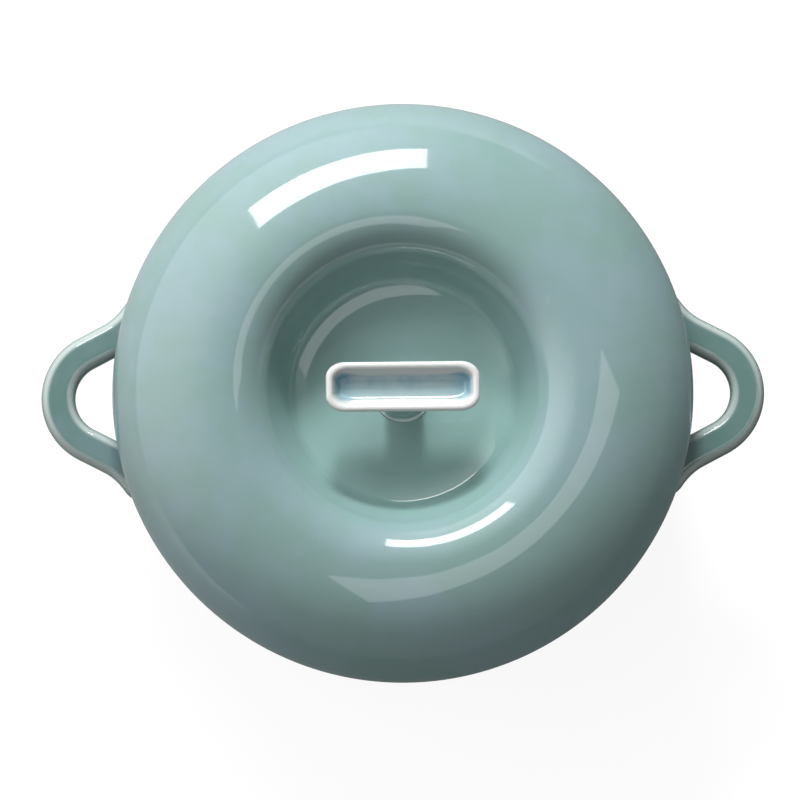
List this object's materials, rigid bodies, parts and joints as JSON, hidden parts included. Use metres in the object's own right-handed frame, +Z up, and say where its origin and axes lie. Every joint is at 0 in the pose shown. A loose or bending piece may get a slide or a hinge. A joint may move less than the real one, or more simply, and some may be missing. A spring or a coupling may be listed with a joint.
{
  "type": "round dutch oven",
  "caption": "Round glazed stoneware dutch oven with loop handles and a lift-off domed ring lid whose sunken middle holds a T-shaped dished knob.",
  "frame": {"origin": "centre of the foot's resting plane, under the middle of the pot", "axes": "+Z up out of the pot; +X through the right-hand handle; -Y towards the picture's viewer"},
  "size_m": [0.301, 0.24, 0.1343],
  "materials": {
    "celadon_pot": "glossy celadon glaze, blue-green, deeper where it pools",
    "celadon_handle": "glossy celadon glaze breaking pale along the edges",
    "celadon_lid": "glossy celadon glaze, softly mottled",
    "pale_glaze": "glossy glaze, white on the rim and blue where it pools in the dish",
    "bare_stoneware": "unglazed fired stoneware, matte, fine grain"
  },
  "bodies": {
    "pot": {"pot_body": "celadon_pot", "foot_ring": "bare_stoneware", "handle_left": "celadon_handle", "handle_right": "celadon_handle"},
    "lid": {"lid_shell": "celadon_lid", "lid_flange": "bare_stoneware", "knob_stem": "celadon_lid", "knob_dish": "pale_glaze"}
  },
  "joints": [
    {"name": "lid_lift", "type": "slide", "parent": "pot", "child": "lid", "axis": [0, 0, 1], "range_m": [0, 0.16]}
  ]
}
